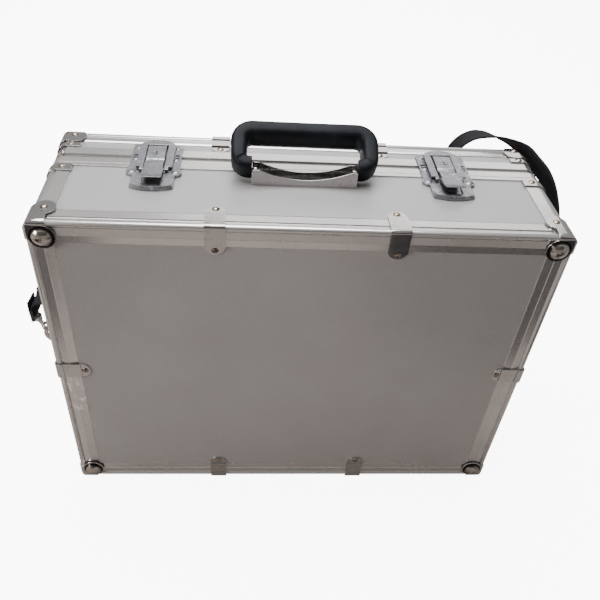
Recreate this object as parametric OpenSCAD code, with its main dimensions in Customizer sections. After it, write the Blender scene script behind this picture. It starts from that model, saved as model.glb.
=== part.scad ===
// Hard carrying case for a folding drone: plywood panels in aluminium edge profiles,
// steel corners, two lever latches with locks, a folding handle and a shoulder strap.
// It stands on its hinge side with the handle up. +X is the viewer's right, +Y is from the
// deep base shell towards the lid, +Z is up, and the origin is the bottom centre of the case.

/* [Case] */
// Width over the edge beads
case_w = 450; // [420:1:480]
// Height over the edge beads, from hinge side to handle side
case_h = 334; // [314:1:354]
// Depth over the edge beads, base and lid together
case_d = 152; // [150:1:160]
// Depth of the lid, from the seam to the back bead
lid_d = 43; // [43:1:45]
// Radius of the case's corners along the depth
corner_r = 10; // [9:0.5:11]
// How far the lid opens before the slots of its stays end, in degrees
lid_open = 75; // [60:1:75]

/* [Shell] */
// Width of the profiles' flange on the big faces
flange_w = 21; // [20:0.5:22]
// Width of the lid profile's flange on the narrow sides
lid_flange_w = 16.4; // [16:0.1:17]
// Radius of the bead along each edge
bead_r = 3.2; // [3:0.1:3.5]
// Thickness of the wall panels
panel_t = 5; // [4.5:0.1:5]

/* [Steel fittings] */
// Thickness of the pressed steel corners, clamps and brackets
steel_t = 1.2; // [1:0.1:1.2]
// Radius of a rivet's head
rivet_r = 3.2; // [2.8:0.1:3.4]
// Height of a rivet's head
rivet_rise = 1.5; // [1.5:0.1:1.8]
// Radius of the dome feet
foot_r = 9; // [8:0.5:9.5]
// Height of the dome feet
foot_rise = 5; // [4:0.5:6]
// Distance of the edge clamps from the middle
clamp_x = 75.6; // [60:1:90]
// Width of an edge clamp
clamp_w = 17; // [14:1:18]

/* [Handle] */
// Length of the handle's bracket
bracket_l = 92; // [90:1:94]
// Width over the grip
grip_w = 130; // [128:1:134]
// Height of the grip above its pivot
grip_h = 45.5; // [44:0.5:48]
// Thickness of the grip, front to back
grip_t = 24; // [20:0.5:24]
// How far the handle leans back on its stop, in degrees from upright
grip_lean = 63; // [55:1:63]

/* [Latches] */
// Distance of each latch from the middle
latch_x = 132; // [120:1:145]
// Width of the latch plate
latch_w = 45; // [42:1:48]

/* [Strap] */
// Width of the webbing
strap_w = 22; // [20:1:24]
// Thickness of the webbing
strap_t = 2; // [1.5:0.1:2.4]

/* [Hidden] */
$fn = 48;

// Levels, measured inwards from the crest of the beads
flange_level = 0.8;
sheet_t = 1.2;
panel_level = flange_level + sheet_t;
block_in = panel_level + panel_t + 1;
inner_leg = 19;
groove_level = 1.6;
band_level = 1.5;
// The seam between base and lid, and the gap left between the two mating frames
seam_y = case_d - lid_d;
seam_gap = 0.2;
strip_level = 2.3;
base_band = [91.5, 106];
lid_band = [seam_y + 3, seam_y + 15];
// The case stands on the heads of its lowest rivets
floor_rise = steel_t + rivet_rise;
front_out = steel_t + foot_rise;
y_front = -(case_d + floor_rise - front_out) / 2;
// Hinges
hinge_z = 0.4;
hinge_x = 130;
hinge_l = 50;
barrel_r = 2.2;
pin_r = 1.25;
run_gap = 0.06;
// Stays: arcs about the lid's hinge
stay_r = 85;
stay_half = 4.5;
stud_r = 2;
stud_angle = -4.4;
stay_x = case_w / 2 - 11.4;
// Handle pivot
pivot_y = 76;
pivot_z = case_h + 9;
grip_foot = 3.5;
handle_pin_r = 1.5;
// Latch pivots, above the case's top edge
lever_y = 88;
lever_z = 3;
bail_y = 81.5;
bail_z = 2.6;
plate_top = 0.6;
// Strap anchors and rings, on the side walls of the base
anchor_y = 54.25;
anchor_z = 165;
ring_out = case_w / 2 + 3;
ring_r = 10.6;
wire_r = 1.7;
ring_leg = 9;
// How far the strap has swung each ring back towards the lid, left and right
ring_swing = [0, 35];

C_ALU = [0.80, 0.80, 0.82];
C_PANEL = [0.66, 0.65, 0.66];
C_STEEL = [0.58, 0.58, 0.60];
C_BRASS = [0.62, 0.52, 0.42];
C_ZINC = [0.50, 0.50, 0.51];
C_BLACK = [0.08, 0.08, 0.09];
C_FOAM = [0.20, 0.20, 0.21];

// ---- helpers ------------------------------------------------------------------------
// Everything but the strap is drawn from the front bead plane and the bottom bead
module in_case() {
    translate([0, y_front, floor_rise]) children();
}

// Extrusions of a drawing along X (drawn in Y, Z), along Y (in X, Z) and along Z (in X, Y)
module along_x(x0, x1) {
    translate([x0, 0, 0]) rotate([90, 0, 90]) linear_extrude(x1 - x0) children();
}

module along_y(y0, y1) {
    translate([0, y1, 0]) rotate([90, 0, 0]) linear_extrude(y1 - y0) children();
}

module along_z(z0, z1) {
    translate([0, 0, z0]) linear_extrude(z1 - z0) children();
}

module flip_x(on) {
    if (on) mirror([1, 0, 0]) children();
    else children();
}

module flip_z(on) {
    if (on) mirror([0, 0, 1]) children();
    else children();
}

module both_sides() {
    for (s = [false, true]) flip_x(s) children();
}

// The four narrow sides: 0 bottom, 1 left, 2 top, 3 right. Drawn as if on the bottom side
function side_len(i) = i % 2 == 0 ? case_w : case_h;
function side_half(i) = i % 2 == 0 ? case_h / 2 : case_w / 2;

module on_side(i) {
    translate([0, 0, case_h / 2]) rotate([0, 90 * i, 0])
        translate([0, 0, -side_half(i)]) children();
}

// The lid is drawn from its back face towards the seam, like a shallower base
module from_back() {
    translate([0, case_d, 0]) mirror([0, 1, 0]) children();
}

// The four corners, drawn as the left bottom one: x and z run inwards from the corner
module at_corners() {
    for (sx = [false, true], sz = [false, true])
        translate([(sx ? 1 : -1) * case_w / 2, 0, sz ? case_h : 0])
            flip_x(sx) flip_z(sz) children();
}

module rounded(w, h, r) {
    square([w - 2 * r, h], center = true);
    square([w, h - 2 * r], center = true);
    for (sx = [-1, 1], sy = [-1, 1])
        translate([sx * (w / 2 - r), sy * (h / 2 - r)]) circle(r);
}

// A corner of the case's outline, set in by some distance, out to a given size
module round_corner(inset, r, size) {
    translate([inset + r, inset]) square([size - inset - r, size - inset]);
    translate([inset, inset + r]) square([size - inset, size - inset - r]);
    translate([inset + r, inset + r]) circle(r);
}

// The case's outline set in by some distance, and a ring between two such outlines
module outline(inset) {
    translate([0, case_h / 2])
        rounded(case_w - 2 * inset, case_h - 2 * inset, corner_r - inset);
}

module outline_ring(outer, inner) {
    difference() {
        outline(outer);
        outline(inner);
    }
}

module dome(r, rise) {
    ball = (r * r + rise * rise) / (2 * rise);
    intersection() {
        translate([0, 0, rise - ball]) sphere(ball);
        cylinder(r = r + 1, h = rise + 1);
    }
}

module rivet() {
    dome(rivet_r, rivet_rise);
}

// ---- shell --------------------------------------------------------------------------
// Edge profile, drawn in depth from the big face and in distance from the narrow side:
// a bead, two flanges outside the panels and two legs inside them
module profile_section(side_leg, flat) {
    inner_side = side_leg - 2;
    polygon([
        [groove_level, 2], [groove_level, 6.2], [band_level, 6.4], [flange_level, 12.8],
        [1.1, 13.4], [1.7, flange_w - 0.4], [panel_level, flange_w],
        [panel_level, block_in], [block_in - 1, block_in], [block_in - 1, inner_leg],
        [block_in, inner_leg], [block_in, block_in], [inner_side, block_in],
        [inner_side, block_in - 1], [block_in, block_in - 1], [block_in, panel_level],
        [side_leg, panel_level], [side_leg - 0.4, 1.4], [flat[1], flange_level],
        [flat[0], flange_level], [flat[0] - 0.5, groove_level], [2, groove_level]
    ]);
    translate([bead_r, bead_r]) circle(bead_r);
}

// One edge of a big face, mitred at both ends
module edge_profile(i, side_leg, flat) {
    half = side_len(i) / 2;
    reach = 25;
    color(C_ALU) intersection() {
        on_side(i) intersection() {
            along_x(-half, half) profile_section(side_leg, flat);
            along_y(-1, reach) polygon([
                [-half - 1, -1], [half + 1, -1], [half - reach, reach], [reach - half, reach]
            ]);
        }
        along_y(-1, reach) outline(0);
    }
}

module base_profile(i) {
    in_case() edge_profile(i, flange_w, [9.7, 18.7]);
}

module lid_profile(i) {
    in_case() from_back() edge_profile(i, lid_flange_w, [8.3, 14.4]);
}

// Upright wall panels stand in the profiles' slots
module side_panel(i, y0, y1) {
    half = side_len(i) / 2 - corner_r;
    color(C_PANEL) on_side(i)
        translate([-half, y0, panel_level]) cube([2 * half, y1 - y0, panel_t]);
}

module base_side_panel(i) {
    in_case() side_panel(i, block_in, base_band[1] - 2);
}

module lid_side_panel(i) {
    in_case() side_panel(i, lid_band[0] + 2, case_d - block_in);
}

module face_panel() {
    color(C_PANEL) translate([block_in - case_w / 2, panel_level, block_in])
        cube([case_w - 2 * block_in, panel_t, case_h - 2 * block_in]);
}

module base_front_panel() {
    in_case() face_panel();
}

module lid_back_panel() {
    in_case() from_back() face_panel();
}

// Rounded corner profiles along the depth, behind the edge profiles
module corner_posts(side_leg, flange_end) {
    r_in = corner_r - panel_level;
    color(C_ALU) at_corners() {
        along_y(side_leg, flange_end) difference() {
            round_corner(flange_level, corner_r - flange_level, flange_w);
            round_corner(panel_level, r_in, flange_w + 1);
        }
        along_y(block_in, inner_leg) intersection() {
            round_corner(panel_level, r_in, flange_w);
            square(block_in - 1);
        }
        along_y(inner_leg, flange_end + 1.5) intersection() {
            round_corner(panel_level, r_in, flange_w);
            square(block_in);
        }
        along_y(inner_leg, flange_end + 1.5) difference() {
            translate([block_in - 1, block_in - 1]) square(inner_leg - block_in + 1);
            translate([block_in, block_in]) square(inner_leg);
        }
    }
}

module base_corner_posts() {
    in_case() corner_posts(flange_w, base_band[0]);
}

module lid_corner_posts() {
    in_case() from_back() corner_posts(lid_flange_w, case_d - lid_band[1]);
}

module hinge_relief() {
    for (s = [-1, 1])
        along_x(s * hinge_x - hinge_l / 2 - 1, s * hinge_x + hinge_l / 2 + 1)
            translate([seam_y, hinge_z]) circle(barrel_r + 0.4);
}

// The mating frames grip the side panels and meet at the seam with a tongue and a groove
module base_mating_frame() {
    edge = seam_y - seam_gap;
    color(C_ALU) in_case() difference() {
        union() {
            along_y(base_band[0], base_band[1] - 2) outline_ring(flange_level, panel_level);
            along_y(base_band[1] - 2, base_band[1]) outline_ring(flange_level, block_in);
            along_y(base_band[1], edge) outline_ring(strip_level, block_in);
            along_y(base_band[0] + 3, base_band[1] - 2) outline_ring(block_in - 1, block_in);
            along_y(edge, edge + 2) outline_ring(3.4, 4.4);
        }
        along_y(base_band[0] + 4.9, base_band[0] + 5.4) outline_ring(0, 1.2);
        hinge_relief();
    }
}

module lid_mating_frame() {
    edge = seam_y + seam_gap;
    color(C_ALU) in_case() difference() {
        union() {
            along_y(edge, lid_band[0]) outline_ring(strip_level, block_in);
            along_y(lid_band[0], lid_band[0] + 2) outline_ring(flange_level, block_in);
            along_y(lid_band[0] + 2, lid_band[1]) outline_ring(flange_level, panel_level);
            along_y(lid_band[0] + 2, lid_band[1] - 2) outline_ring(block_in - 1, block_in);
        }
        along_y(edge - 1, edge + 2.2) outline_ring(3.0, 5.6);
        hinge_relief();
    }
}

// ---- steel corners, clamps and rivets -------------------------------------------------
// A block with the case's roundings, grown outwards by some distance, at one corner
module corner_block(grow, size) {
    intersection() {
        along_y(-grow, size) round_corner(-grow, corner_r + grow, size);
        along_z(-grow, size) round_corner(-grow, bead_r + grow, size);
        along_x(-grow, size) round_corner(-grow, bead_r + grow, size);
    }
}

// Pressed corner: a round lobe on the big face and one on each narrow side.
// side_lobe is [distance from the face, radius, reach of the straight part]
module corner_cap(side_lobe) {
    wrap = 17;
    thick = bead_r + steel_t;
    difference() {
        intersection() {
            corner_block(steel_t, 40);
            union() {
                along_y(-steel_t, thick) {
                    translate([-steel_t, -steel_t]) square(wrap + steel_t);
                    translate([13.7, 13.7]) circle(11);
                }
                along_z(-steel_t, thick) {
                    translate([-steel_t, -steel_t]) square([13 + steel_t, side_lobe[2] + steel_t]);
                    translate([-steel_t, -steel_t]) square(wrap + steel_t);
                    translate([13.5, side_lobe[0]]) circle(side_lobe[1]);
                }
                along_x(-steel_t, thick) {
                    translate([-steel_t, -steel_t]) square([side_lobe[2] + steel_t, 13 + steel_t]);
                    translate([-steel_t, -steel_t]) square(wrap + steel_t);
                    translate([side_lobe[0], 13.5]) circle(side_lobe[1]);
                }
            }
        }
        corner_block(0, 41);
    }
}

base_lobe = [19.9, 9.5, 26];
lid_lobe = [9.5, 11, 19];
lid_lobe_rivet = 7.4;

module base_corner_caps() {
    color(C_STEEL) in_case() at_corners() corner_cap(base_lobe);
}

module lid_corner_caps() {
    color(C_STEEL) in_case() from_back() at_corners() corner_cap(lid_lobe);
}

// Angle brackets that tie the corner posts to the mating frames
bracket_in = 22;
bracket_lift = flange_level - steel_t;

module mating_bracket(y0, y1) {
    along_y(y0, y1) difference() {
        round_corner(bracket_lift, corner_r - bracket_lift, bracket_in);
        round_corner(flange_level, corner_r - flange_level, bracket_in + 1);
    }
}

module base_mating_brackets() {
    color(C_STEEL) in_case() at_corners() mating_bracket(80.5, base_band[0] - 0.1);
}

module lid_mating_brackets() {
    color(C_STEEL) in_case() at_corners()
        mating_bracket(lid_band[1] + 0.1, case_d - lid_lobe[0] - lid_lobe[1] - 0.3);
}

// A clamp folded over an edge: over the bead, the flanges and a little of the panels.
// Each leg is [width of the flange, place of its rivet]
module edge_clamp(side_leg, face_leg) {
    out = -steel_t;
    lift = flange_level - steel_t;
    lobe = 4.5;
    ends = [side_leg[1] + lobe, face_leg[1] + lobe];
    bend = 3;
    over = bead_r + sqrt(bead_r * bead_r - pow(bead_r - flange_level, 2)) + 0.05;
    step = over + 0.9;
    seat = rivet_r + 0.1;
    difference() {
        intersection() {
            along_x(-clamp_w / 2, clamp_w / 2) polygon(concat([
                [ends[0], flange_level], [side_leg[0] + sheet_t, flange_level],
                [side_leg[0] + sheet_t, lift], [step, lift], [step, out]],
                [for (a = [0:15:90]) [out + bend - bend * sin(a), out + bend - bend * cos(a)]], [
                [out, step], [lift, step], [lift, face_leg[0] + sheet_t],
                [flange_level, face_leg[0] + sheet_t], [flange_level, ends[1]],
                [panel_level, ends[1]], [panel_level, face_leg[0]],
                [flange_level, face_leg[0]], [flange_level, over], [0, over], [0, 0],
                [over, 0], [over, flange_level], [side_leg[0], flange_level],
                [side_leg[0], panel_level], [ends[0], panel_level]
            ]));
            union() {
                translate([-clamp_w, out, out])
                    cube([2 * clamp_w, ends[0] - out - clamp_w / 2, ends[1] - out - clamp_w / 2]);
                along_z(out, panel_level + 1) translate([0, ends[0] - clamp_w / 2])
                    circle(clamp_w / 2);
                along_y(out, panel_level + 1) translate([0, ends[1] - clamp_w / 2])
                    circle(clamp_w / 2);
            }
        }
        // flat seats round the rivets
        along_z(out - 1, flange_level) translate([0, side_leg[1]]) circle(seat);
        along_y(out - 1, flange_level) translate([0, face_leg[1]]) circle(seat);
    }
}

// Where the clamps sit on each side, and how far in their face rivets are
function clamp_places(i) = i % 2 == 0 ? [-clamp_x, clamp_x] : [0];
face_rivet = [27.5, 26, 23.5, 26];
base_side_rivet = 27;
lid_side_rivet = 23;

module edge_clamps(side_leg) {
    color(C_STEEL) for (i = [0:3], x = clamp_places(i))
        on_side(i) translate([x, 0, 0]) edge_clamp(side_leg, [flange_w, face_rivet[i]]);
}

module base_edge_clamps() {
    in_case() edge_clamps([flange_w, base_side_rivet]);
}

module lid_edge_clamps() {
    in_case() from_back() edge_clamps([lid_flange_w, lid_side_rivet]);
}

// A rivet on a narrow side, drawn at the bottom, and one on the big face
module side_rivet(x, y, level) {
    translate([x, y, level]) rotate([180, 0, 0]) rivet();
}

module face_side_rivet(x, z, level) {
    translate([x, level, z]) rotate([90, 0, 0]) rivet();
}

module shell_rivets(lobe_y, clamp_rivet) {
    at_corners() translate([-steel_t, lobe_y, 13.5]) rotate([0, -90, 0]) rivet();
    both_sides() translate([0, 0, case_h]) mirror([0, 0, 1])
        side_rivet(13.5 - case_w / 2, lobe_y, -steel_t);
    for (i = [0:3], x = clamp_places(i)) on_side(i) {
        side_rivet(x, clamp_rivet, flange_level);
        face_side_rivet(x, face_rivet[i], flange_level);
    }
}

// The lowest rivets, which the case stands on, have tips worn flat
module floor_rivets(lobe_y) {
    color(C_BRASS) both_sides()
        translate([13.5 - case_w / 2, lobe_y, -steel_t]) rotate([180, 0, 0]) intersection() {
            dome(rivet_r, rivet_rise + 0.4);
            cylinder(r = rivet_r + 1, h = rivet_rise);
        }
}

module bracket_rivets(y) {
    at_corners() {
        side_rivet(13.5, y, bracket_lift);
        translate([bracket_lift, y, 13.5]) rotate([0, -90, 0]) rivet();
    }
}

leaf_rivets = [-18, 0, 18];

module base_rivets() {
    color(C_BRASS) in_case() {
        shell_rivets(base_lobe[0], base_side_rivet);
        bracket_rivets(87);
        for (s = [-1, 1], x = leaf_rivets)
            side_rivet(s * hinge_x + x, 98.5, flange_level - sheet_t);
        both_sides() for (s = [-1, 1])
            translate([-case_w / 2 + panel_level - 1.5, anchor_y, anchor_z + s * 17])
                rotate([0, -90, 0]) dome(2.4, rivet_rise);
    }
}

module lid_rivets() {
    color(C_BRASS) in_case() {
        from_back() {
            shell_rivets(lid_lobe_rivet, lid_side_rivet);
            at_corners() face_side_rivet(13.7, 13.7, -steel_t);
        }
        bracket_rivets(127.7);
        for (s = [-1, 1], x = leaf_rivets)
            side_rivet(s * hinge_x + x, 117.6, flange_level - sheet_t);
    }
}

module base_floor_rivets() {
    in_case() floor_rivets(base_lobe[0]);
}

module lid_floor_rivets() {
    in_case() from_back() floor_rivets(lid_lobe_rivet);
}

module dome_feet() {
    color(C_STEEL) in_case() at_corners()
        translate([13.7, -steel_t, 13.7]) rotate([90, 0, 0]) dome(foot_r, foot_rise);
}

// ---- handle ---------------------------------------------------------------------------
// Folded steel channel with dipped walls; the grip's pins turn in its ends
module handle_bracket() {
    base_z = case_h - panel_level;
    wall = 15;
    low = 6.5;
    half = bracket_l / 2;
    dip = 40;
    dip_r = (dip * dip + pow(wall - low, 2)) / (2 * (wall - low));
    front = pivot_y - 7.6;
    back = pivot_y + 7.6;
    color(C_STEEL) in_case() difference() {
        translate([-half, front, base_z]) cube([bracket_l, back - front, wall]);
        translate([-half + 1.5, front + steel_t, base_z + steel_t])
            cube([bracket_l - 3, back - front - 2 * steel_t, wall]);
        along_y(front - 1, back + 1) translate([0, base_z + low + dip_r]) circle(dip_r, $fn = 96);
        along_x(-half - 1, half + 1) translate([pivot_y, pivot_z]) circle(handle_pin_r + run_gap);
    }
}

module handle_pins() {
    tab = bracket_l / 2 - 1.5;
    color(C_STEEL) in_case() both_sides() {
        along_x(tab - 2, tab + 12) translate([pivot_y, pivot_z]) circle(handle_pin_r);
        along_x(tab - 2, tab - 0.1) translate([pivot_y, pivot_z]) circle(2.6);
    }
}

// The grip's closed D, drawn upright about its pivot
module grip_outline() {
    half = grip_w / 2;
    top_r = 21;
    low_r = 13;
    square_w = 2 * (half - top_r);
    translate([-square_w / 2, -grip_foot]) square([square_w, grip_h + grip_foot]);
    translate([-half, low_r - grip_foot]) square([grip_w, grip_h - top_r - low_r + grip_foot]);
    translate([low_r - half, -grip_foot]) square([grip_w - 2 * low_r, low_r + 1]);
    for (s = [-1, 1]) {
        translate([s * (half - top_r), grip_h - top_r]) circle(top_r);
        translate([s * (half - low_r), low_r - grip_foot]) circle(low_r);
    }
}

module grip_opening() {
    half = grip_w / 2 - 14;
    top = grip_h - 15;
    top_r = 9;
    low_r = 5;
    gap = bracket_l / 2 + 0.4;
    translate([top_r - half, 9]) square([2 * (half - top_r), top - 9]);
    translate([-half, 9]) square([2 * half, top - top_r - 9]);
    translate([-gap, -grip_foot - 1]) square([2 * gap, grip_foot + 11]);
    for (s = [-1, 1]) {
        translate([s * (half - top_r), top - top_r]) circle(top_r);
        translate([s * (half - low_r), 9]) circle(low_r);
    }
}

module handle_grip() {
    bore = bracket_l / 2 + 12;
    edge = grip_t / 2;
    foot_bevel = 4;
    slope = grip_foot / foot_bevel;
    over = 0.5;
    color(C_BLACK) in_case() translate([0, pivot_y, pivot_z]) rotate([-grip_lean, 0, 0])
        difference() {
            along_y(-grip_t / 2, grip_t / 2) difference() {
                grip_outline();
                grip_opening();
            }
            along_x(-bore, bore) circle(handle_pin_r + run_gap);
            // the feet's lower edges are bevelled to clear the top panel as the grip turns
            for (s = [-1, 1]) along_x(-grip_w, grip_w) polygon([
                [s * (edge + over), slope * over],
                [s * (edge - foot_bevel - over), -grip_foot - slope * over],
                [s * (edge + over), -grip_foot - slope * over]
            ]);
        }
}

// ---- latches ----------------------------------------------------------------------------
// Each latch is drawn about its own middle, with heights above the case's top edge
module at_latch(s) {
    in_case() translate([s * latch_x, 0, case_h]) children();
}

// Levels of the flange and the panel under the latch
on_flange = -flange_level;
on_panel = -panel_level;
lower_w = latch_w - 8;
housing_w = 16;
housing_y = [92.8, 121.7];
housing_top = 4.9;
plug_y = 108;
plug_r = 3;
arc_y = 53;
arc_r = 43;
cheek = [6.7, 8];
arm = [9.5, 15.8];
bail_t = 1.6;
bail_low = 2.3;
ear_r = 1.6;
lever_pin_r = 0.9;

module lower_arc(r) {
    translate([0, arc_y + arc_r]) circle(r, $fn = 96);
}

module latch_outline() {
    end = seam_y - 0.3;
    translate([-latch_w / 2, 84]) square([latch_w, end - 84]);
    translate([-lower_w / 2, 60]) square([lower_w, 26]);
    intersection() {
        lower_arc(arc_r);
        translate([-lower_w / 2, arc_y - 1]) square([lower_w, 12]);
    }
    for (e = [-1, 1]) translate([e * (lower_w / 2 - 0.3), 82]) circle(6);
}

module latch_plate(s) {
    color(C_ZINC) at_latch(s) difference() {
        union() {
            along_z(on_flange, plate_top) latch_outline();
            along_z(on_panel, on_flange) intersection() {
                latch_outline();
                translate([-40, 0]) square([80, base_band[0] - 0.1]);
            }
            // raised lip along the lower edge
            along_z(plate_top, 2.4) intersection() {
                difference() {
                    lower_arc(arc_r - 0.6);
                    lower_arc(arc_r - 4.6);
                }
                translate([1 - lower_w / 2, arc_y - 1]) square([lower_w - 2, 16]);
            }
            // ears for the lever
            for (e = [-1, 1]) along_x(e * 5.7 - 0.8, e * 5.7 + 0.8) {
                translate([lever_y, lever_z]) circle(ear_r);
                translate([lever_y - ear_r, 0]) square([2 * ear_r, lever_z]);
            }
            // lock housing, reaching over the seam
            along_x(-housing_w / 2, housing_w / 2) polygon([
                [housing_y[0], 0], [housing_y[0] + 5, 0], [housing_y[0] + 9, 1.4],
                [housing_y[1], 1.4], [housing_y[1], housing_top - 1],
                [housing_y[1] - 1, housing_top], [98, housing_top], [96.5, housing_top - 0.7],
                [housing_y[0], housing_top - 0.7]
            ]);
            for (e = [-1, 1]) {
                translate([e * 18, 103, plate_top]) dome(2.2, 0.9);
                translate([e * 19, 81, plate_top]) dome(3.4, 1.3);
                translate([e * 18.6 - 2, 106, plate_top - 0.1]) cube([4, 1.4, 0.9]);
            }
        }
        along_x(-7, 7) translate([lever_y, lever_z]) circle(lever_pin_r + run_gap);
        translate([0, plug_y, 2.4]) cylinder(r = plug_r + run_gap, h = 6);
        // shallow well under the lever, and troughs beside the lock
        translate([-9, 58.6, -0.6]) cube([18, 21.4, 4]);
        for (e = [-1, 1]) translate([e * 8.8 - 0.7, 92, -0.4]) cube([1.4, seam_y - 94, 4]);
    }
}

// Lever with a curled thumb lip, pivoted outside the plate's ears
module latch_lever(s) {
    color(C_ZINC) at_latch(s) difference() {
        union() {
            along_x(-cheek[1], cheek[1]) polygon([
                [57.6, 9], [58.4, 9.7], [66.6, 6.9], [88.8, 6], [89.8, 5.6], [89.8, 4.8],
                [67.4, 5.7], [65.8, 5.9]
            ]);
            // the lip is a little wider than the rest
            for (e = [-1, 1]) along_x(e * 8.3 - 0.5, e * 8.3 + 0.5) polygon([
                [57.6, 9], [58.4, 9.7], [66.6, 6.9], [78, 6.45], [76, 5.3], [67.4, 5.7],
                [65.8, 5.9]
            ]);
            for (e = [-1, 1]) along_x(min(e * cheek[0], e * cheek[1]), max(e * cheek[0], e * cheek[1])) {
                translate([lever_y, lever_z]) circle(2);
                polygon([
                    [70, 6], [70, 4.8], [bail_y - 2, bail_z - 1.6], [bail_y + 2, bail_z - 1.6],
                    [lever_y, lever_z - 2], [lever_y + 1.8, lever_z], [lever_y + 1.8, 5.2]
                ]);
            }
            along_x(-cheek[1], cheek[1]) translate([lever_y, lever_z]) circle(lever_pin_r);
        }
        along_x(-8.9, 8.9) translate([bail_y, bail_z]) circle(1 + run_gap);
    }
}

// Loop that goes round the lock and over the catch, on stub pins in the lever's cheeks
module bail_outline() {
    difference() {
        union() {
            translate([-arm[1], 85]) square([2 * arm[1], 41]);
            intersection() {
                translate([0, 115.5]) circle(18.8, $fn = 96);
                translate([-arm[1], 115]) square([2 * arm[1], 30]);
            }
        }
        translate([-arm[0], 80]) square([2 * arm[0], 43.4]);
    }
}

module latch_bail(s) {
    color(C_ZINC) at_latch(s) {
        along_z(bail_low, bail_low + bail_t) bail_outline();
        for (e = [-1, 1]) {
            along_x(e * 11 - 1.5, e * 11 + 1.5) {
                translate([bail_y, bail_z]) circle(1.3);
                polygon([
                    [bail_y, bail_z - 1.2], [87, bail_low], [87, bail_low + bail_t],
                    [bail_y, bail_z + 1.2]
                ]);
            }
            along_x(min(e * 6.9, e * 10), max(e * 6.9, e * 10))
                translate([bail_y, bail_z]) circle(1);
        }
        // rolled front edge of the crossbar
        along_x(-arm[0], arm[0]) translate([124.2, bail_low + bail_t]) circle(0.8);
    }
}

module lock_plug(s) {
    color(C_ZINC) at_latch(s) difference() {
        translate([0, plug_y, 2.5]) cylinder(r = plug_r, h = 2.8);
        translate([-0.5, plug_y - 2.2, 3.6]) cube([1, 4.4, 4]);
        translate([0, plug_y + 1, 3.6]) cylinder(r = 1.1, h = 4);
    }
}

module catch_outline() {
    back = 132.4;
    round_r = 5;
    y0 = seam_y + 0.3;
    translate([-latch_w / 2, y0]) square([latch_w, back - round_r - y0]);
    translate([round_r - latch_w / 2, y0]) square([latch_w - 2 * round_r, back - y0]);
    for (e = [-1, 1]) translate([e * (latch_w / 2 - round_r), back - round_r]) circle(round_r);
}

module latch_catch(s) {
    color(C_ZINC) at_latch(s) {
        along_z(on_flange, plate_top) catch_outline();
        along_z(on_panel, on_flange) intersection() {
            catch_outline();
            translate([-40, lid_band[1] + 0.1]) square([80, 20]);
        }
        // crest under the loop
        translate([-9, 124.6, 0]) cube([18, 6, bail_low - 0.3]);
        for (e = [-1, 1]) {
            translate([e * 18, 124, plate_top]) dome(2.4, 1);
            translate([e * 18.6 - 2, 110.6, plate_top - 0.1]) cube([4, 1.4, 0.9]);
        }
    }
}

// ---- hinges and stays ---------------------------------------------------------------------
module hinge_leaf(y0, y1, spans) {
    top = flange_level;
    for (s = [-1, 1]) difference() {
        union() {
            translate([s * hinge_x - hinge_l / 2, y0, top - sheet_t])
                cube([hinge_l, y1 - y0, sheet_t]);
            for (k = spans) {
                along_x(s * hinge_x + k[0], s * hinge_x + k[1]) {
                    translate([seam_y, hinge_z]) circle(barrel_r);
                    translate([min(y1, seam_y), top - sheet_t])
                        square([abs(seam_y - (y0 > seam_y ? y0 : y1)) + 0.01, sheet_t]);
                }
            }
        }
        along_x(s * hinge_x - hinge_l / 2 - 1, s * hinge_x + hinge_l / 2 + 1)
            translate([seam_y, hinge_z]) circle(pin_r + run_gap);
    }
}

module hinge_base_leaves() {
    end = hinge_l / 2;
    color(C_STEEL) in_case() hinge_leaf(93.5, seam_y - 2.6, [[-end, -9], [9, end]]);
}

module hinge_lid_leaves() {
    color(C_STEEL) in_case() hinge_leaf(seam_y + 2.6, 123.5, [[-8.7, 8.7]]);
}

module hinge_pins() {
    color(C_STEEL) in_case() for (s = [-1, 1])
        along_x(s * hinge_x - hinge_l / 2, s * hinge_x + hinge_l / 2)
            translate([seam_y, hinge_z]) circle(pin_r);
}

// A wedge about the hinge, from angle a to angle b towards the lid, measured from upright
module wedge(a, b) {
    far = 2 * stay_r;
    polygon(concat([[0, 0]], [for (k = [0:4]) let (t = a + (b - a) * k / 4)
        [far * sin(t), far * cos(t)]]));
}

stay_end = 84;
tab_y = 9;

module lid_stays() {
    tab_a = asin(tab_y / stay_r);
    color(C_STEEL) in_case() both_sides() {
        along_x(stay_x - 1.5, stay_x) translate([seam_y, hinge_z]) difference() {
            intersection() {
                difference() {
                    circle(stay_r + stay_half, $fn = 96);
                    circle(stay_r - stay_half, $fn = 96);
                }
                wedge(-stay_end, tab_a + 4);
            }
            intersection() {
                difference() {
                    circle(stay_r + stud_r + 0.2, $fn = 96);
                    circle(stay_r - stud_r - 0.2, $fn = 96);
                }
                wedge(2.5 - stay_end, 2 + stud_angle);
            }
        }
        along_x(stay_x, case_w / 2 - block_in)
            translate([seam_y + tab_y, hinge_z + stay_r * cos(tab_a)]) circle(2.5);
    }
}

module stay_guides() {
    y = seam_y + stay_r * sin(stud_angle);
    z = hinge_z + stay_r * cos(stud_angle);
    color(C_STEEL) in_case() both_sides() {
        along_x(stay_x - 2, case_w / 2 - block_in) translate([y, z]) circle(stud_r);
        along_x(stay_x - 3.2, stay_x - 2) translate([y, z]) circle(3.6);
    }
}

// ---- foam -----------------------------------------------------------------------------------
foam_gap = 15;
foam_in = block_in + 0.4;
foam_face = 101;
// Pockets of the tray: [x, z, width, height, depth]
pockets = [
    [-88, 208, 206, 178, 74],
    [116, 226, 154, 142, 62],
    [-163, 62, 56, 78, 66],
    [-95, 62, 56, 78, 66],
    [-27, 62, 56, 78, 66],
    [58, 72, 78, 98, 66],
    [152, 72, 82, 98, 60]
];

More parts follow.
